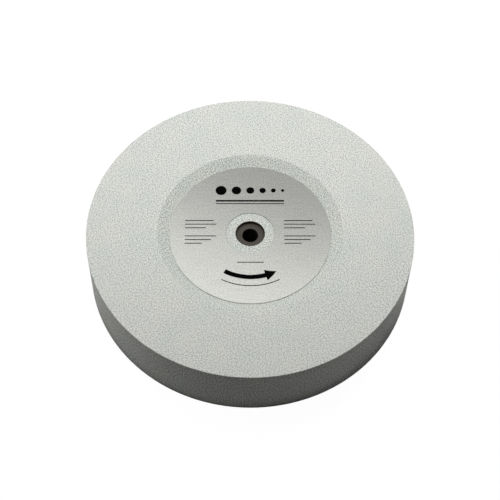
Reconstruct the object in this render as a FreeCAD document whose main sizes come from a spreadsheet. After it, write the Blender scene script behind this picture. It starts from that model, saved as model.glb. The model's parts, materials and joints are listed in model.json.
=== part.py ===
# Grindstone wheel for a wet grinder: a vitrified stone with a shallow recess in each side, a plastic bush
# cemented into its bore, and a round foil label on the floor of the front recess.
# Millimetres. The origin is the middle of the stone, on the bore's axis. +Z points out of the label side.

import FreeCAD, Part
import os

import Sketcher

doc = FreeCAD.newDocument("grindstone_wheel")

# Driving dimensions
driving_dimensions = [
    ("stone_diameter", 250.0, "outside of a new, unworn stone"),
    ("stone_width", 50.0, "between the two side faces, the width of the grinding surface"),
    ("edge_break", 0.3, "small bevel round both grinding edges"),
    ("recess_mouth_diameter", 142.0, "recess where it meets the side face"),
    ("recess_depth", 4.2, "side face to recess floor"),
    ("recess_wall_angle", 26.5, "degrees that the sloping recess wall rises above the floor"),
    ("flange_seat_diameter", 36.0, "bare ring of the floor that a clamping flange presses on"),
    ("shaft_diameter", 12.0, "shaft that the wheel runs on"),
    ("shaft_clearance", 0.02, "all round, between the shaft and the bush"),
    ("bush_wall", 4.98, "bush, from its bore to its outside"),
    ("bush_setback", 2.6, "recess floor to the end of the bush, the same at both ends"),
    ("bush_lead_in", 0.2, "bevel at both mouths of the bush's bore"),
    ("bond_thickness", 0.3, "cement between the bush and the stone"),
    ("label_thickness", 0.5, "foil face, dark backing and adhesive together"),
    ("label_margin", 0.7, "bare floor between the label and the foot of the recess wall"),
    ("label_hole_clearance", 0.5, "all round, between the flange seat and the label's hole"),
]
sizes = doc.addObject("Spreadsheet::Sheet", "Sizes")
for row, (alias, value, meaning) in enumerate(driving_dimensions, start=1):
    sizes.set(f"A{row}", alias)
    sizes.set(f"B{row}", str(value))
    sizes.set(f"C{row}", meaning)
    sizes.setAlias(f"B{row}", alias)
doc.recompute()

# Sizes that follow from the driving ones, as expressions on the sheet
BUSH_BORE = "(Sizes.shaft_diameter + 2 * Sizes.shaft_clearance)"
BUSH_OUTSIDE = f"({BUSH_BORE} + 2 * Sizes.bush_wall)"
STONE_BORE = f"({BUSH_OUTSIDE} + 2 * Sizes.bond_thickness)"
FACE_HEIGHT = "(Sizes.stone_width / 2)"
FLOOR_HEIGHT = f"({FACE_HEIGHT} - Sizes.recess_depth)"
WALL_RUN = "(Sizes.recess_depth / tan(Sizes.recess_wall_angle * 1 deg))"
FLOOR_DIAMETER = f"(Sizes.recess_mouth_diameter - 2 * {WALL_RUN})"
LABEL_OUTSIDE = f"({FLOOR_DIAMETER} - 2 * Sizes.label_margin)"
LABEL_HOLE = "(Sizes.flange_seat_diameter + 2 * Sizes.label_hole_clearance)"


def new_body(label):
    """An empty body under its own label, which also names its file."""
    body = doc.addObject("PartDesign::Body", label)
    body.Label = label
    return body


def sketch_on(body, plane_role, name):
    """A new sketch on one of the body's own origin planes."""
    sketch = body.newObject("Sketcher::SketchObject", name)
    plane = next(item for item in body.Origin.OriginFeatures if item.Role == plane_role)
    sketch.AttachmentSupport = [(plane, "")]
    sketch.MapMode = "FlatFace"
    return sketch


def dimension(sketch, name, expression, kind, *geometry):
    """Adds a dimension to the sketch and ties it to an expression on the sheet."""
    start_value = float(sizes.evalExpression(expression))
    index = sketch.addConstraint(Sketcher.Constraint(kind, *geometry, start_value))
    sketch.renameConstraint(index, name)
    sketch.setExpression(f"Constraints.{name}", expression)


def circles(sketch, **diameters):
    """One circle about the axis for each named diameter."""
    for name, expression in diameters.items():
        radius = float(sizes.evalExpression(expression)) / 2
        circle = sketch.addGeometry(Part.Circle(FreeCAD.Vector(), FreeCAD.Vector(0, 0, 1), radius))
        sketch.addConstraint(Sketcher.Constraint("Coincident", circle, 3, -1, 1))
        dimension(sketch, name, expression, "Diameter", circle)


def round_edges(feature, diameter):
    """Names of the feature's circular edges that have this diameter."""
    wanted_radius = float(sizes.evalExpression(diameter)) / 2
    names = []
    for number, edge in enumerate(feature.Shape.Edges, start=1):
        if edge.Curve.TypeId == "Part::GeomCircle" and abs(edge.Curve.Radius - wanted_radius) < 1e-6:
            names.append(f"Edge{number}")
    return names


def ring(body, name, height, **diameters):
    """Pads a sketch of circles by a height shared equally about its plane."""
    sketch = sketch_on(body, "XY_Plane", f"{name}_outline")
    circles(sketch, **diameters)
    pad = body.newObject("PartDesign::Pad", name)
    pad.Profile = sketch
    pad.SideType = "Symmetric"
    pad.setExpression("Length", height)
    doc.recompute()
    return pad


def bevel(body, name, base, diameter, size):
    """Bevels the base feature's circular edges that have this diameter."""
    chamfer = body.newObject("PartDesign::Chamfer", name)
    chamfer.Base = (base, round_edges(base, diameter))
    chamfer.Refine = False
    chamfer.setExpression("Size", size)
    doc.recompute()
    return chamfer


# Stone: a pressed and fired disc. The recess is turned into the front, mirrored to the rear, and the bore
# goes through. The recess floor is two faces: the flange seat, and the wider ring outside it.
stone = new_body("stone")
blank = ring(stone, "blank", "Sizes.stone_width", outside="Sizes.stone_diameter")

recess_section = sketch_on(stone, "XZ_Plane", "recess_section")
seat_radius = sizes.flange_seat_diameter / 2
floor_radius = float(sizes.evalExpression(FLOOR_DIAMETER)) / 2
mouth_radius = sizes.recess_mouth_diameter / 2
floor_height = float(sizes.evalExpression(FLOOR_HEIGHT))
face_height = sizes.stone_width / 2
corners = [
    FreeCAD.Vector(0, floor_height),
    FreeCAD.Vector(seat_radius, floor_height),
    FreeCAD.Vector(floor_radius, floor_height),
    FreeCAD.Vector(mouth_radius, face_height),
    FreeCAD.Vector(0, face_height),
]
for corner, next_corner in zip(corners, corners[1:] + corners[:1]):
    recess_section.addGeometry(Part.LineSegment(corner, next_corner))
SEAT, FLOOR, WALL, MOUTH, AXIS = range(5)
for line, next_line in ((SEAT, FLOOR), (FLOOR, WALL), (WALL, MOUTH), (MOUTH, AXIS), (AXIS, SEAT)):
    recess_section.addConstraint(Sketcher.Constraint("Coincident", line, 2, next_line, 1))
for line in (SEAT, FLOOR, MOUTH):
    recess_section.addConstraint(Sketcher.Constraint("Horizontal", line))
recess_section.addConstraint(Sketcher.Constraint("PointOnObject", SEAT, 1, -2))
recess_section.addConstraint(Sketcher.Constraint("PointOnObject", MOUTH, 2, -2))
dimension(recess_section, "seat_radius", "Sizes.flange_seat_diameter / 2", "DistanceX", SEAT, 1, SEAT, 2)
dimension(recess_section, "floor_radius", f"{FLOOR_DIAMETER} / 2", "DistanceX", SEAT, 1, FLOOR, 2)
dimension(recess_section, "mouth_radius", "Sizes.recess_mouth_diameter / 2", "DistanceX", MOUTH, 2, MOUTH, 1)
dimension(recess_section, "floor_height", FLOOR_HEIGHT, "DistanceY", -1, 1, SEAT, 1)
dimension(recess_section, "face_height", FACE_HEIGHT, "DistanceY", -1, 1, MOUTH, 2)

front_recess = stone.newObject("PartDesign::Groove", "front_recess")
front_recess.Profile = recess_section
front_recess.ReferenceAxis = (recess_section, ["V_Axis"])
front_recess.Angle = 360
front_recess.Refine = False
doc.recompute()

rear_recess = stone.newObject("PartDesign::Mirrored", "rear_recess")
rear_recess.Originals = [front_recess]
mid_plane = next(item for item in stone.Origin.OriginFeatures if item.Role == "XY_Plane")
rear_recess.MirrorPlane = (mid_plane, [""])
rear_recess.Refine = False
stone.Tip = rear_recess
doc.recompute()

bore_outline = sketch_on(stone, "XY_Plane", "bore_outline")
circles(bore_outline, bore=STONE_BORE)
bore = stone.newObject("PartDesign::Pocket", "bore")
bore.Profile = bore_outline
bore.SideType = "Symmetric"
bore.setExpression("Length", "Sizes.stone_width")
bore.Refine = False
doc.recompute()

bevel(stone, "grinding_edges", bore, "Sizes.stone_diameter", "Sizes.edge_break")

for before, after in ((blank, front_recess), (front_recess, rear_recess), (rear_recess, bore)):
    if not after.Shape.Volume < before.Shape.Volume:
        raise RuntimeError(f"{after.Label} removes nothing from the stone")

# Bush: a moulded sleeve that carries the stone on the shaft. It stops short of the recess floors, so that the
# flanges clamp on the stone alone.
bush = new_body("bush")
bush_length = f"2 * ({FLOOR_HEIGHT} - Sizes.bush_setback)"
sleeve = ring(bush, "sleeve", bush_length, bore=BUSH_BORE, outside=BUSH_OUTSIDE)
bevel(bush, "lead_in", sleeve, BUSH_BORE, "Sizes.bush_lead_in")

# Bond: the cured cement that holds the bush and seals the stone's bore from one recess floor to the other.
bush_bond = new_body("bush_bond")
ring(bush_bond, "bond_layer", f"2 * {FLOOR_HEIGHT}", inside=BUSH_OUTSIDE, outside=STONE_BORE)

# Label: a foil disc stuck to the front recess floor, with a hole that leaves the flange seat bare.
label = new_body("label")
ring(label, "foil", "Sizes.label_thickness", hole=LABEL_HOLE, outside=LABEL_OUTSIDE)
label.setExpression(".Placement.Base.z", f"{FLOOR_HEIGHT} + Sizes.label_thickness / 2")

doc.recompute()
for item in doc.Objects:
    if "Invalid" in item.State or "Error" in item.State:
        raise RuntimeError(f"{item.Label} did not build: {item.State}")

os.makedirs("parts", exist_ok=True)
for body in (stone, bush, bush_bond, label):
    if body.Shape.isNull() or not body.Shape.isValid() or len(body.Shape.Solids) != 1:
        raise RuntimeError(f"{body.Label} is not one sound solid")
    body.Shape.exportStep(f"parts/{body.Label}.step")
    box = body.Shape.BoundBox
    print(f"{body.Label}: {box.XLength:.2f} x {box.YLength:.2f} x {box.ZLength:.2f} mm,", end=" ")
    print(f"z {box.ZMin:.2f} to {box.ZMax:.2f}, {body.Shape.Volume / 1000:.2f} cm3")
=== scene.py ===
import json
import math

import bpy
import numpy as np
from mathutils import Matrix, Vector


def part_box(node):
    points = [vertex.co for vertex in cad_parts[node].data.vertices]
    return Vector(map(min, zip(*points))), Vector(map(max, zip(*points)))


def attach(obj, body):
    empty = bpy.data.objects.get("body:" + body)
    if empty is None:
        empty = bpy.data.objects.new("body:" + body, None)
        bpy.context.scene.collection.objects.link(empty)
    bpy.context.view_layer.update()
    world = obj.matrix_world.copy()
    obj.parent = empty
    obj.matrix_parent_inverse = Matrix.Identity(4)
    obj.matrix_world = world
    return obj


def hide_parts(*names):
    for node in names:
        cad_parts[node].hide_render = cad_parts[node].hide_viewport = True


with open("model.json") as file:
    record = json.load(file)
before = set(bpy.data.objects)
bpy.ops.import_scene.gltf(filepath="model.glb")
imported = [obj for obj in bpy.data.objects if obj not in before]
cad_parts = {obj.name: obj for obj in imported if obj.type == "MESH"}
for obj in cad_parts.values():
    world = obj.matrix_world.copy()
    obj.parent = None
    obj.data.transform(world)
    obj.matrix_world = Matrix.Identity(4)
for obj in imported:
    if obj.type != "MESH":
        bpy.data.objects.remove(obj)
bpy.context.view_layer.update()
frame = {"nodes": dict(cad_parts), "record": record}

# Stone
# A broad wheel of aluminium oxide grit and clay binder, pressed in a mould, fired until the binder turns to
# glass, then trued on its rim and both sides. A shallow recess with a sloping wall is sunk into each side,
# and the edges have lost a few grains.
MM = 0.001
HAIR = 0.01 * MM


def radii_at(node, height):
    """Distances from the axis of a CAD node's corners that lie within a hair of one height."""
    mesh = frame["nodes"][node].data
    corners = np.empty(len(mesh.vertices) * 3, np.float32)
    mesh.vertices.foreach_get("co", corners)
    corners = corners.reshape(-1, 3)
    level = np.abs(corners[:, 2] - height) < HAIR
    return np.hypot(corners[level, 0], corners[level, 1])


stone_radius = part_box("stone")[1].x
face_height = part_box("stone")[1].z
floor_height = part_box("label")[0].z
bore_radius = radii_at("stone", floor_height).min()
floor_radius = radii_at("stone", floor_height).max()
mouth_radius = radii_at("stone", face_height).min()
edge_break = stone_radius - radii_at("stone", face_height).max()
ROUNDING_POINTS = 5


def with_rear(front_half):
    """The corners of an outline's front half, then the same corners mirrored to the rear, last to first."""
    return front_half + [(radius, -height, rounding) for radius, height, rounding in reversed(front_half)]


def rounded_outline(corners, spacing):
    """Points round a closed outline. Each corner is a radius, a height and a rounding.

    A corner C rounded by q is the curve (1-s)^2 A + 2 s (1-s) C + s^2 B for s from 0 to 1, where A and B
    lie q before and after it. The straight runs between are divided about every spacing, with a point
    close to each end that keeps the shading of the corner off the run.
    """
    corners = np.asarray(corners, float)
    corners, q = corners[:, :2], corners[:, 2:]
    back = np.roll(corners, 1, axis=0) - corners
    ahead = np.roll(corners, -1, axis=0) - corners
    first = corners + q * back / np.linalg.norm(back, axis=1, keepdims=True)
    last = corners + q * ahead / np.linalg.norm(ahead, axis=1, keepdims=True)
    s = np.linspace(0, 1, ROUNDING_POINTS)[:, None]
    pieces = []
    guard_pairs = zip(q, np.roll(q, -1))
    for a, c, b, next_a, guards in zip(first, corners, last, np.roll(first, -1, axis=0), guard_pairs):
        pieces.append((1 - s) ** 2 * a + 2 * s * (1 - s) * c + s**2 * b)
        run = np.linalg.norm(next_a - b)
        start, stop = np.minimum(guards, run / 3).ravel()
        places = np.linspace(start, run - stop, 1 + math.ceil((run - start - stop) / spacing))
        pieces.append(b + (next_a - b) * places[:, None] / run)
    return np.concatenate(pieces)


def turned(outline, steps, sink=0.0):
    """An outline of (radius, height) carried round the axis: x = r cos a, y = r sin a, z = h.

    Each point is first sunk into the piece by sink, along the outline's inward normal, which is the tangent
    turned right.
    """
    tangent = np.roll(outline, -1, axis=0) - np.roll(outline, 1, axis=0)
    tangent /= np.linalg.norm(tangent, axis=1, keepdims=True)
    inward = np.stack([tangent[:, 1], -tangent[:, 0]], axis=1)
    angle = np.linspace(0, 2 * math.pi, steps, endpoint=False)
    sunk = outline[:, None] + inward[:, None] * np.broadcast_to(sink, (len(outline), steps))[..., None]
    radius, height = sunk[..., 0], sunk[..., 1]
    return np.stack([radius * np.cos(angle), radius * np.sin(angle), height], axis=-1)


def grid_object(name, grids, materials, open_rows=False, slot_of_row=None, smooth=True):
    """A mesh object from grids of points. Columns close on themselves, and so do rows unless open_rows."""
    points, quads, start = [], [], 0
    for grid in grids:
        number = start + np.arange(grid.shape[0] * grid.shape[1]).reshape(grid.shape[:2])
        right = np.roll(number, -1, axis=1)
        faces = np.stack([number, np.roll(number, -1, axis=0), np.roll(right, -1, axis=0), right], axis=-1)
        quads.append((faces[:-1] if open_rows else faces).reshape(-1, 4))
        points.append(grid.reshape(-1, 3))
        start += number.size
    mesh = bpy.data.meshes.new(name)
    mesh.from_pydata(np.concatenate(points), [], np.concatenate(quads))
    for material in materials:
        mesh.materials.append(material)
    if slot_of_row is not None:
        slot_of_face = np.repeat(slot_of_row, grids[0].shape[1])
        mesh.polygons.foreach_set("material_index", slot_of_face.astype(np.int32))
    if smooth:
        mesh.shade_smooth()
    mesh.validate()
    piece = bpy.data.objects.new(name, mesh)
    bpy.context.scene.collection.objects.link(piece)
    return piece


def linear(hex_colour):
    """An sRGB hex colour as linear red, green and blue, with full alpha."""
    srgb = np.array([int(hex_colour[i : i + 2], 16) for i in (1, 3, 5)]) / 255
    light = np.where(srgb <= 0.04045, srgb / 12.92, ((srgb + 0.055) / 1.055) ** 2.4)
    return (*light.tolist(), 1.0)


def add_node(tree, kind, inputs=None, stops=(), **settings):
    """Adds a node with its settings and colour stops, and links or sets its inputs by name or number."""
    node = tree.nodes.new("ShaderNode" + kind)
    for name, value in settings.items():
        setattr(node, name, value)
    for index, (position, hex_colour) in enumerate(stops):
        if index == len(node.color_ramp.elements):
            node.color_ramp.elements.new(position)
        node.color_ramp.elements[index].position = position
        node.color_ramp.elements[index].color = linear(hex_colour)
    for name, value in (inputs or {}).items():
        if isinstance(value, bpy.types.NodeSocket):
            tree.links.new(value, node.inputs[name])
        else:
            node.inputs[name].default_value = value
    return node


def new_material(name):
    """A material with an empty node tree, that tree, and the piece's own coordinates in it, in metres."""
    material = bpy.data.materials.new(name)
    material.use_nodes = True
    tree = material.node_tree
    tree.nodes.clear()
    return material, tree, add_node(tree, "TexCoord").outputs["Object"]


# Vitrified alumina: pale grey grains in glass with darker pores between them, dull all over. The grit is
# about 0.1 mm, too fine to show, so it is drawn as grains of 0.9 and 0.7 mm in two layers, each turned its
# own way. The two are added, and PORE and CREST are the sums that get the first and last of the shades.
GRAIN = 0.9 * MM
GRAIN_TURN = -0.35
FINE_GRAIN = 0.7 * MM
FINE_TURN = 0.6
PORE = 0.58
CREST = 1.42
GRAIN_RELIEF = 0.1 * MM

# Firing leaves broad, faint tints.
TINT_WIDTH = 20 * MM
TINT_SHARE = 0.25
TINT_SHADES = [(0.35, "#c0c9c4"), (0.5, "#cbcec8"), (0.65, "#d4d2ca")]

# The sides are trued. The recesses are left as fired and drawn a little darker, a painted shade in the
# hollows. The rim is trued with a diamond that runs across it, so its pores are the darkest and are drawn
# out along the axis.
SIDE_SHADES = [(0.0, "#7b7d79"), (0.5, "#d7d9d4"), (1.0, "#edeeea")]
RECESS_SHADES_PAINTED_DARKER = [(0.0, "#646863"), (0.5, "#cfd2cc"), (1.0, "#ecefea")]
RIM_SHADES = [(0.0, "#171a15"), (0.5, "#d6d8d1"), (1.0, "#fdfdfa")]
RIM_DRAW = 1.7


def vitrified_alumina(name, grain_shades, unrolled=False):
    """The stone's material, with its grains in the plane of X and Y or in the plane of the rim unrolled.

    A point of the unrolled rim lies at stone_radius times its angle round the axis, and at its height
    divided by RIM_DRAW.
    """
    material, tree, place = new_material(name)
    plane = place
    if unrolled:
        along = add_node(tree, "SeparateXYZ", {"Vector": place}).outputs
        angle = add_node(tree, "Math", {0: along["Y"], 1: along["X"]}, operation="ARCTAN2").outputs[0]
        round_it = add_node(tree, "Math", {0: angle, 1: stone_radius}, operation="MULTIPLY").outputs[0]
        across_it = add_node(tree, "Math", {0: along["Z"], 1: RIM_DRAW}, operation="DIVIDE").outputs[0]
        plane = add_node(tree, "CombineXYZ", {"X": round_it, "Y": across_it}).outputs["Vector"]
    layers = {}
    for layer, (width, turn) in enumerate(((GRAIN, GRAIN_TURN), (FINE_GRAIN, FINE_TURN))):
        slanted = {"Vector": plane, "Angle": turn}
        slanted = add_node(tree, "VectorRotate", slanted, rotation_type="Z_AXIS").outputs["Vector"]
        noise = {"Vector": slanted, "Scale": 1 / width, "Detail": 0.0}
        layers[layer] = add_node(tree, "TexNoise", noise, noise_dimensions="2D").outputs["Fac"]
    total = add_node(tree, "Math", layers, operation="ADD").outputs[0]
    grit = {"Value": total, "From Min": PORE, "From Max": CREST}
    grit = add_node(tree, "MapRange", grit).outputs["Result"]
    grains = add_node(tree, "ValToRGB", {"Fac": grit}, grain_shades).outputs["Color"]
    firing = add_node(tree, "TexNoise", {"Vector": place, "Scale": 1 / TINT_WIDTH, "Detail": 2.0})
    tints = add_node(tree, "ValToRGB", {"Fac": firing.outputs["Fac"]}, TINT_SHADES).outputs["Color"]
    blend = {"Factor": TINT_SHARE, "A": grains, "B": tints}
    colour = add_node(tree, "Mix", blend, data_type="RGBA").outputs["Result"]
    height = {"Height": grit, "Strength": 0.5, "Distance": GRAIN_RELIEF}
    relief = add_node(tree, "Bump", height).outputs["Normal"]
    surface = add_node(tree, "BsdfPrincipled", {"Base Color": colour, "Roughness": 0.92, "Normal": relief})
    add_node(tree, "OutputMaterial", {"Surface": surface.outputs["BSDF"]})
    return material


trued_side = vitrified_alumina("vitrified_alumina_side", SIDE_SHADES)
# The recess material is drawn darker than the sides: painted shade in the hollows.
fired_recess_painted_shade = vitrified_alumina("vitrified_alumina_recess_painted_shade", RECESS_SHADES_PAINTED_DARKER)
trued_rim = vitrified_alumina("vitrified_alumina_rim", RIM_SHADES, unrolled=True)

BORE_ROUNDING = 0.08 * MM
FOOT_ROUNDING = 0.2 * MM
MOUTH_ROUNDING = 0.4 * MM
STONE_STEPS = 720
STONE_SPACING = 5 * MM
stone_front = [
    (bore_radius, floor_height, BORE_ROUNDING),
    (floor_radius, floor_height, FOOT_ROUNDING),
    (mouth_radius, face_height, MOUTH_ROUNDING),
    (stone_radius, face_height, edge_break),
]
stone_outline = rounded_outline(with_rear(stone_front), STONE_SPACING)

CHIP_DEPTH = 0.25 * MM
CHIP_REACH = 0.7 * MM
CHIP_SEED = 250


def chipped(outline, edges, steps):
    """How far each point of the turned stone is sunk: d w C^4.

    C is even noise from 0 to 1 and d the depth of the deepest chip. The weight w falls from 1 at an edge to
    0 at the reach of a chip.
    """
    noise = np.random.default_rng(CHIP_SEED).random((len(outline), steps))
    gap = np.linalg.norm(outline[:, None] - np.asarray(edges), axis=-1).min(axis=1)
    return CHIP_DEPTH * np.clip(1 - gap / CHIP_REACH, 0, 1)[:, None] * noise**4


worn_edges = [(radius, side * face_height) for radius in (mouth_radius, stone_radius) for side in (1, -1)]
stone_surface = turned(stone_outline, STONE_STEPS, chipped(stone_outline, worn_edges, STONE_STEPS))
row_radius = (stone_outline[:, 0] + np.roll(stone_outline[:, 0], -1)) / 2
in_recess = row_radius < mouth_radius
on_rim = row_radius > stone_radius - edge_break / 2
finishes = [trued_side, fired_recess_painted_shade, trued_rim]
stone = grid_object("grindstone", [stone_surface], finishes, slot_of_row=in_recess + 2 * on_rim)
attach(stone, "root")
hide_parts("stone")

# Bush cement
# Dark cement, poured between the stone and the bush and left to cure. It coats the bore from floor to
# floor, has shrunk back a little at its lip, and leaves a small fillet on each end of the bush.
bush_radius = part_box("bush")[1].x
bush_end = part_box("bush")[1].z
LIP_SHRINKAGE = 0.12 * MM
LIP_ROUNDING = 0.08 * MM
FILLET = 0.4 * MM
FILLET_ROUNDING = 0.2 * MM
SEAM_ROUNDING = 0.02 * MM
CEMENT_STEPS = 180
CEMENT_SPACING = 4 * MM

# Cured resin: nearly black, with a dull gloss and brown lumps where it is thin.
LUMP = 1.2 * MM
LUMP_RELIEF = 0.1 * MM
RESIN_SHADES = [(0.3, "#19140f"), (0.7, "#43372a")]
cured_resin, tree, place = new_material("cured_resin_cement")
lumps = add_node(tree, "TexNoise", {"Vector": place, "Scale": 1 / LUMP, "Detail": 3.0}).outputs["Fac"]
shades = add_node(tree, "ValToRGB", {"Fac": lumps}, RESIN_SHADES).outputs["Color"]
height = {"Height": lumps, "Strength": 0.4, "Distance": LUMP_RELIEF}
relief = add_node(tree, "Bump", height).outputs["Normal"]
finish = {"Base Color": shades, "Roughness": 0.6, "Specular IOR Level": 0.2, "Normal": relief}
surface = add_node(tree, "BsdfPrincipled", finish)
add_node(tree, "OutputMaterial", {"Surface": surface.outputs["BSDF"]})

lip_height = floor_height - LIP_SHRINKAGE
cement_front = [
    (bush_radius, bush_end, SEAM_ROUNDING),
    (bush_radius - FILLET, bush_end, SEAM_ROUNDING),
    (bush_radius, bush_end + FILLET, FILLET_ROUNDING),
    (bush_radius, lip_height, LIP_ROUNDING),
    (bore_radius, lip_height, LIP_ROUNDING),
]
cement_outline = rounded_outline(with_rear(cement_front), CEMENT_SPACING)
cement = grid_object("bush_cement", [turned(cement_outline, CEMENT_STEPS)], [cured_resin])
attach(cement, "root")
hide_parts("bush_bond")

# Bush
# A plain sleeve moulded in dark grey glass-filled nylon. It carries the stone on the shaft, has a small
# bevel at each mouth of its bore, and is set back from the recess floors.
shaft_bore = next(mount for mount in frame["record"]["mounts"] if mount["name"] == "shaft_bore")
bush_bore = shaft_bore["dims"]["r_mm"] * MM
lead_in = radii_at("bush", bush_end).min() - bush_bore
LEAD_IN_ROUNDING = 0.12 * MM
BUSH_ROUNDING = 0.05 * MM
BUSH_STEPS = 180
BUSH_SPACING = 1.2 * MM

# Moulded glass-filled nylon: warm dark grey, dull, with short fibres that mottle the skin. The bore is
# drawn
# nearly black: painted shade deep in the hole.
FIBRE_MOTTLE = 0.6 * MM
FIBRE_RELIEF = 0.05 * MM
NYLON_SHADES = [(0.3, "#413d37"), (0.7, "#555049")]
BORE_SHADE_SHADES = [(0.3, "#161412"), (0.7, "#24211d")]


def moulded_nylon(name, fibre_shades):
    """The bush's material, mottled from the first of the shades to the last."""
    material, tree, place = new_material(name)
    fibres = {"Vector": place, "Scale": 1 / FIBRE_MOTTLE, "Detail": 4.0}
    fibres = add_node(tree, "TexNoise", fibres).outputs["Fac"]
    shades = add_node(tree, "ValToRGB", {"Fac": fibres}, fibre_shades).outputs["Color"]
    height = {"Height": fibres, "Strength": 0.25, "Distance": FIBRE_RELIEF}
    relief = add_node(tree, "Bump", height).outputs["Normal"]
    finish = {"Base Color": shades, "Roughness": 0.65, "Specular IOR Level": 0.2, "Normal": relief}
    surface = add_node(tree, "BsdfPrincipled", finish)
    add_node(tree, "OutputMaterial", {"Surface": surface.outputs["BSDF"]})
    return material


plain_nylon = moulded_nylon("moulded_glass_filled_nylon", NYLON_SHADES)
bore_shade_nylon = moulded_nylon("glass_filled_nylon_painted_bore_shade", BORE_SHADE_SHADES)

bush_front = [
    (bush_bore, bush_end - lead_in, LEAD_IN_ROUNDING),
    (bush_bore + lead_in, bush_end, LEAD_IN_ROUNDING),
    (bush_radius, bush_end, BUSH_ROUNDING),
]
bush_outline = rounded_outline(with_rear(bush_front), BUSH_SPACING)
row_radius = (bush_outline[:, 0] + np.roll(bush_outline[:, 0], -1)) / 2
in_bore = row_radius < bush_bore + lead_in / 4
bush_surface = turned(bush_outline, BUSH_STEPS)
# The bore rows get the near-black copy of the nylon: painted shade deep in the hole.
bush = grid_object("shaft_bush", [bush_surface], [plain_nylon, bore_shade_nylon], slot_of_row=in_bore)
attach(bush, "root")
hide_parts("bush")

# Label
# A round label with a face of satin aluminium foil on a dark backing, stuck to the floor of the front
# recess. Its hole leaves the flange seat bare. The backing is drawn near black, so its cut edges show as a
# thin dark line, partly painted shade.
label_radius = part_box("label")[1].x
label_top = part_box("label")[1].z
label_hole = radii_at("label", label_top).min()
FOIL = 0.06 * MM
FOIL_ROUNDING = 0.04 * MM
FILM_ROUNDING = 0.02 * MM
SEAL_ROUNDING = 0.01 * MM
LABEL_STEPS = 360
LABEL_SPACING = 3 * MM

# Satin aluminium foil under clear lacquer: a soft silver with a fine speckle from its etched face, and
# faint streaks from side to side where it was rolled. Both are far finer than a pixel, so they are drawn
# 0.8 mm wide.
SPECKLE = 0.8 * MM
SPECKLE_TURN = 0.6
STREAK = 15 * MM
STREAK_SHARE = 0.17
FOIL_SHADES = [(0.0, "#91928d"), (0.5, "#bbbcb7"), (1.0, "#d7d8d3")]
satin_foil, tree, place = new_material("satin_aluminium_foil")
slanted = {"Vector": place, "Angle": SPECKLE_TURN}
slanted = add_node(tree, "VectorRotate", slanted, rotation_type="Z_AXIS").outputs["Vector"]
etching = {"Vector": slanted, "Scale": 1 / SPECKLE, "Detail": 0.0}
etching = add_node(tree, "TexNoise", etching, noise_dimensions="2D").outputs["Fac"]
drawn_out = {0: place, 1: (1 / STREAK, 1 / SPECKLE, 1)}
drawn_out = add_node(tree, "VectorMath", drawn_out, operation="MULTIPLY").outputs["Vector"]
rolling = {"Vector": drawn_out, "Scale": 1.0, "Detail": 0.0}
rolling = add_node(tree, "TexNoise", rolling, noise_dimensions="2D").outputs["Fac"]
both = add_node(tree, "Mix", {"Factor": STREAK_SHARE, "A": etching, "B": rolling}).outputs["Result"]
shades = add_node(tree, "ValToRGB", {"Fac": both}, FOIL_SHADES).outputs["Color"]
surface = add_node(tree, "BsdfPrincipled", {"Base Color": shades, "Metallic": 0.52, "Roughness": 0.25})
add_node(tree, "OutputMaterial", {"Surface": surface.outputs["BSDF"]})

# Backing film: black plastic and glue at the cut edge, dulled by stone dust. Its near-black colour partly
# paints the shade along the cut edges.
DUST = 0.8 * MM
FILM_AND_EDGE_SHADE_SHADES = [(0.3, "#121211"), (0.7, "#242422")]
backing_film_and_edge_shade, tree, place = new_material("black_backing_film_painted_edge_shade")
dust = add_node(tree, "TexNoise", {"Vector": place, "Scale": 1 / DUST}).outputs["Fac"]
shades = add_node(tree, "ValToRGB", {"Fac": dust}, FILM_AND_EDGE_SHADE_SHADES).outputs["Color"]
surface = add_node(tree, "BsdfPrincipled", {"Base Color": shades, "Roughness": 0.75})
add_node(tree, "OutputMaterial", {"Surface": surface.outputs["BSDF"]})

film_top = label_top - FOIL
label_corners = [
    (label_hole, label_top, FOIL_ROUNDING),
    (label_radius, label_top, FOIL_ROUNDING),
    (label_radius, film_top, SEAL_ROUNDING),
    (label_radius, floor_height, FILM_ROUNDING),
    (label_hole, floor_height, FILM_ROUNDING),
    (label_hole, film_top, SEAL_ROUNDING),
]
label_outline = rounded_outline(label_corners, LABEL_SPACING)
row_height = (label_outline[:, 1] + np.roll(label_outline[:, 1], -1)) / 2
in_film = row_height < film_top
label_surface = turned(label_outline, LABEL_STEPS)
label = grid_object("foil_label", [label_surface], [satin_foil, backing_film_and_edge_shade], slot_of_row=in_film)
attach(label, "root")
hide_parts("label")

# Label print
# Plain black marks printed on the foil: a row of dots from coarse to fine, blocks of fine rules, and an
# arrow that follows the wheel round. The ink is a thin film that stands on the foil and is rooted in it.
INK = 0.02 * MM
INK_ROOT = -0.01 * MM
DOT_STATIONS = 33

# Printing ink: black and dull, a little uneven.
MOTTLE = 0.7 * MM
INK_SHADES = [(0.3, "#020202"), (0.7, "#070707")]
printing_ink, tree, place = new_material("black_printing_ink")
mottle = add_node(tree, "TexNoise", {"Vector": place, "Scale": 1 / MOTTLE, "Detail": 2.0}).outputs["Fac"]
shades = add_node(tree, "ValToRGB", {"Fac": mottle}, INK_SHADES).outputs["Color"]
finish = {"Base Color": shades, "Roughness": 0.9, "Specular IOR Level": 0.02}
surface = add_node(tree, "BsdfPrincipled", finish)
add_node(tree, "OutputMaterial", {"Surface": surface.outputs["BSDF"]})


def ribbon(centre, across, half_width):
    """A ribbon of ink along a line of stations.

    A station's section is closed, with corners c - w a and c + w a in the foil and again at the top of the
    ink, where c is the centre, a the unit vector across and w the half width. A half width of 0 closes an
    end.
    """
    offset = np.array([-1, -1, 1, 1])[:, None] * (np.asarray(half_width)[:, None] * across)[:, None]
    flat = centre[:, None] + offset
    height = np.broadcast_to(label_top + np.array([INK_ROOT, INK, INK, INK_ROOT]), flat.shape[:2])
    return np.concatenate([flat, height[..., None]], axis=-1)


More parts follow.
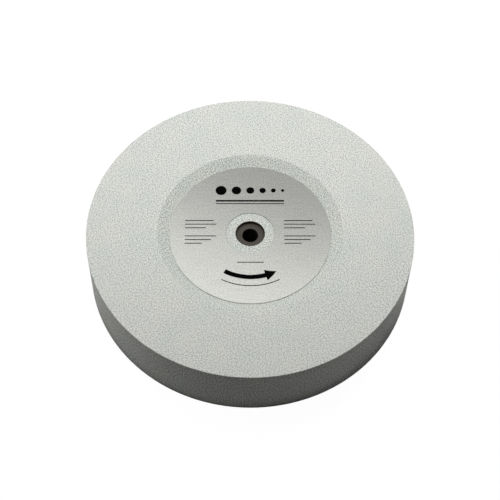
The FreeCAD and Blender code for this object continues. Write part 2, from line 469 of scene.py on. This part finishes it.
def dot(x, y, diameter):
    """A round dot as a ribbon: its half width is r sin t at the station x - r cos t, for t from 0 to pi."""
    t = np.linspace(0, math.pi, DOT_STATIONS)
    centre = np.stack([x - diameter / 2 * np.cos(t), np.full_like(t, y)], axis=1)
    return ribbon(centre, np.array([0, 1]), diameter / 2 * np.sin(t))


def rule(x, y, length, thickness):
    """A straight rule of even thickness that starts at x, y and runs along X."""
    centre = np.array([[x, y], [x, y], [x + length, y], [x + length, y]])
    return ribbon(centre, np.array([0, 1]), np.array([0, 1, 1, 0]) * thickness / 2)


def bow(radius, angles, half_width):
    """A ribbon round the axis, with a half width for each angle."""
    outward = np.stack([np.cos(angles), np.sin(angles)], axis=1)
    return ribbon(radius * outward, -outward, half_width)


DOT_SIZES = np.array([8.6, 7.4, 6.2, 5.0, 3.8, 2.6]) * MM
DOT_GAP = 4 * MM
DOT_ROW = 39.5 * MM
dot_places = np.cumsum(DOT_SIZES) - DOT_SIZES / 2 + DOT_GAP * np.arange(len(DOT_SIZES))
dot_places -= (DOT_SIZES.sum() + DOT_GAP * (len(DOT_SIZES) - 1)) / 2
dots = [dot(x, DOT_ROW, size) for x, size in zip(dot_places, DOT_SIZES)]

RULE = 0.75 * MM
HEADING_LENGTH = 53 * MM
HEADING_ROW = 29.8 * MM
SUBHEADING_ROW = 27.2 * MM
FOOTING_LENGTH = 20 * MM
FOOTING_ROW = -26 * MM
BLOCK_PLACES = (-50 * MM, 26 * MM)
UPPER_ROW = 11.5 * MM
UPPER_LENGTHS = np.array([22, 24, 16]) * MM
LOWER_ROW = -2.5 * MM
LOWER_LENGTHS = np.array([24, 20, 13]) * MM
RULE_PITCH = 3.3 * MM
rules = [
    rule(-HEADING_LENGTH / 2, HEADING_ROW, HEADING_LENGTH, 2 * RULE),
    rule(-HEADING_LENGTH / 2, SUBHEADING_ROW, HEADING_LENGTH, RULE),
]
for left in BLOCK_PLACES:
    for top, lengths in ((UPPER_ROW, UPPER_LENGTHS), (LOWER_ROW, LOWER_LENGTHS)):
        rules += [rule(left, top - line * RULE_PITCH, length, RULE) for line, length in enumerate(lengths)]
rules.append(rule(-FOOTING_LENGTH / 2, FOOTING_ROW, FOOTING_LENGTH, RULE))

# The arrow is an even shaft from its tail to its neck and a head that narrows from there to its tip. A thin
# line runs below it. Their angles round the axis are in degrees.
ARROW_RADIUS = 39 * MM
ARROW_SHAFT = 3.8 * MM
ARROW_HEAD = 9.5 * MM
ARROW_TAIL = 240
ARROW_NECK = 287
ARROW_TIP = 300
SHAFT_STATIONS = 24
HEAD_STATIONS = 9
LINE_RADIUS = 46.5 * MM
LINE_START = 242
LINE_END = 298
LINE_STATIONS = 28
shaft_angles = np.linspace(ARROW_TAIL, ARROW_NECK, SHAFT_STATIONS)
head_angles = np.linspace(ARROW_NECK, ARROW_TIP, HEAD_STATIONS)
arrow_angles = np.radians(np.concatenate([[ARROW_TAIL], shaft_angles, head_angles]))
shaft_widths = np.full(SHAFT_STATIONS, ARROW_SHAFT)
head_widths = np.linspace(ARROW_HEAD, 0, HEAD_STATIONS)
arrow_widths = np.concatenate([[0], shaft_widths, head_widths])
line_angles = np.linspace(LINE_START, LINE_END, LINE_STATIONS)
line_angles = np.radians(np.concatenate([[LINE_START], line_angles, [LINE_END]]))
line_widths = np.concatenate([[0], np.full(LINE_STATIONS, RULE), [0]])
arrow = [bow(ARROW_RADIUS, arrow_angles, arrow_widths / 2), bow(LINE_RADIUS, line_angles, line_widths / 2)]

# The label is stuck on a little askew, and its marks turn with it.
ASKEW = math.radians(1.2)
askew = np.array(Matrix.Rotation(-ASKEW, 3, "Z"))
for name, marks in (("label_print_dots", dots), ("label_print_rules", rules), ("label_print_arrow", arrow)):
    marks = [mark @ askew for mark in marks]
    printed = grid_object(name, marks, [printing_ink], open_rows=True, smooth=False)
    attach(printed, "root")

# Studio sweep
# A white paper sweep: a floor that curves up into a low round wall. It looks white to the camera and in
# reflections, and keeps a faint shadow of the stone. The light it throws back at the rim comes from a
# painted bounce colour, most from beside the stone.
SWEEP_RADIUS = 3.0
SWEEP_BEND = 0.6
SWEEP_HEIGHT = 1.0
SWEEP_STEPS = 96
BEND_POINTS = 13
SWEEP_GLOW = 0.97
SHADOW_TONE = 0.06

# The bounce colour holds a painted shadow: an oval at the foot of the stone, wider at the sides and widest
# on the right, that throws no light back. Outside it the bounce colour is painted light: paler at the sides
# than in front, and darker with distance.
SHADE_SQUEEZE = (0.85, 1, 1)
SHADE_SHIFT = (-0.006, 0, 0)
SHADE_EDGE = 0.019
SIDE_REACH = 0.03
FRONT_PAINTED_BOUNCE = 0.6
SIDE_PAINTED_BOUNCE = 0.95
FADE_REACH = 0.12
FADED_SHARE = 0.35
sweep_paper, tree, place = new_material("white_paper_sweep")
ray = add_node(tree, "LightPath").outputs
seen = {0: ray["Is Camera Ray"], 1: ray["Is Glossy Ray"]}
seen = add_node(tree, "Math", seen, operation="MAXIMUM").outputs[0]
seen = add_node(tree, "Math", {0: seen, 1: ray["Is Transmission Ray"]}, operation="MAXIMUM").outputs[0]
from_axis = add_node(tree, "VectorMath", {0: place}, operation="LENGTH").outputs["Value"]
outside = add_node(tree, "Math", {0: from_axis, 1: stone_radius}, operation="GREATER_THAN").outputs[0]
glow = add_node(tree, "Math", {0: seen, 1: outside}, operation="MULTIPLY").outputs[0]
glow = add_node(tree, "Math", {0: glow, 1: SWEEP_GLOW}, operation="MULTIPLY").outputs[0]
white = add_node(tree, "Emission", {"Strength": glow}).outputs["Emission"]
oval = {0: place, 1: SHADE_SQUEEZE, 2: SHADE_SHIFT}
oval = add_node(tree, "VectorMath", oval, operation="MULTIPLY_ADD").outputs["Vector"]
from_oval = add_node(tree, "VectorMath", {0: oval}, operation="LENGTH").outputs["Value"]
sideways = add_node(tree, "Math", {0: from_axis, 1: from_oval}, operation="SUBTRACT").outputs[0]
most = {"Value": sideways, "From Max": SIDE_REACH, "To Min": FRONT_PAINTED_BOUNCE, "To Max": SIDE_PAINTED_BOUNCE}
most = add_node(tree, "MapRange", most).outputs["Result"]
shade_radius = stone_radius + SHADE_EDGE
fade_radius = stone_radius + FADE_REACH
fade = {"From Min": shade_radius, "From Max": fade_radius, "To Min": 1.0, "To Max": FADED_SHARE}
fade = add_node(tree, "MapRange", {"Value": from_oval, **fade}).outputs["Result"]
most = add_node(tree, "Math", {0: most, 1: fade}, operation="MULTIPLY").outputs[0]
bounce = {"From Min": stone_radius, "From Max": shade_radius, "To Min": 0.0, "To Max": most}
bounce = {"Value": from_oval, **bounce}
bounce = add_node(tree, "MapRange", bounce, interpolation_type="SMOOTHSTEP").outputs["Result"]
tone = {"Value": ray["Is Camera Ray"], "To Min": bounce, "To Max": SHADOW_TONE}
tone = add_node(tree, "MapRange", tone).outputs["Result"]
matt = add_node(tree, "BsdfDiffuse", {"Color": tone}).outputs["BSDF"]
paper = add_node(tree, "AddShader", {0: white, 1: matt}).outputs["Shader"]
add_node(tree, "OutputMaterial", {"Surface": paper})

bend = np.linspace(-math.pi / 2, 0, BEND_POINTS)
bend_radius = SWEEP_RADIUS - SWEEP_BEND + SWEEP_BEND * np.cos(bend)
bend_height = SWEEP_BEND + SWEEP_BEND * np.sin(bend)
sweep_radius = np.concatenate([[0], bend_radius, [SWEEP_RADIUS]])
sweep_height = np.concatenate([[0], bend_height, [SWEEP_HEIGHT]]) - face_height
sweep_surface = turned(np.stack([sweep_radius, sweep_height], axis=1), SWEEP_STEPS)
sweep = grid_object("sweep", [sweep_surface], [sweep_paper], open_rows=True)

# Light
# Two softboxes behind the stone: a long strip on the right that gives the stone its shape, and a wide one
# on the left that shines in the label. Beyond them the room is nearly dark. Their turns are in degrees.
SOFTBOXES = {
    "right_strip": {"place": (0.563, 0.65, 0.643), "turn": (-4.5, 2.5, 59.6), "size": (1.12, 0.15)},
    "left_softbox": {"place": (-0.407, 0.262, 0.593), "turn": (30.0, -4.9, -18.2), "size": (1.2, 0.82)},
}
SOFTBOX_POWER = 6.46
ROOM_LIGHT = 0.004
for name, softbox in SOFTBOXES.items():
    light = bpy.data.lights.new(name, "AREA")
    light.shape = "RECTANGLE"
    light.size, light.size_y = softbox["size"]
    light.energy = SOFTBOX_POWER
    lamp = bpy.data.objects.new(name, light)
    lamp.location = softbox["place"]
    lamp.rotation_euler = np.radians(softbox["turn"])
    bpy.context.scene.collection.objects.link(lamp)
room = bpy.data.worlds.new("dim_room")
room.use_nodes = True
room.node_tree.nodes.clear()
air = add_node(room.node_tree, "Background", {"Color": (1, 1, 1, 1), "Strength": ROOM_LIGHT})
add_node(room.node_tree, "OutputWorld", {"Surface": air.outputs["Background"]})
bpy.context.scene.world = room

# Camera
# It looks down at the stone at about 58 degrees through a long lens from about a metre away, and is turned
# by a degree about its line of sight.
CAMERA_ELEVATION = math.radians(58.17)
CAMERA_ROLL = math.radians(1.02)
CAMERA_DISTANCE = 1.0727
LENS = 99.36
TARGET = Vector((0.00006, -0.00193, 0))
back = Vector((0, -math.cos(CAMERA_ELEVATION), math.sin(CAMERA_ELEVATION)))
level_right = Vector((1, 0, 0))
level_up = back.cross(level_right)
right = level_right * math.cos(CAMERA_ROLL) + level_up * math.sin(CAMERA_ROLL)
up = level_up * math.cos(CAMERA_ROLL) - level_right * math.sin(CAMERA_ROLL)
axes = Matrix((right, up, back)).transposed()
camera_data = bpy.data.cameras.new("camera")
camera_data.lens = LENS
camera = bpy.data.objects.new("camera", camera_data)
camera.matrix_world = Matrix.Translation(TARGET + back * CAMERA_DISTANCE) @ axes.to_4x4()
bpy.context.scene.collection.objects.link(camera)
bpy.context.scene.camera = camera
bpy.context.scene.view_settings.view_transform = "Standard"
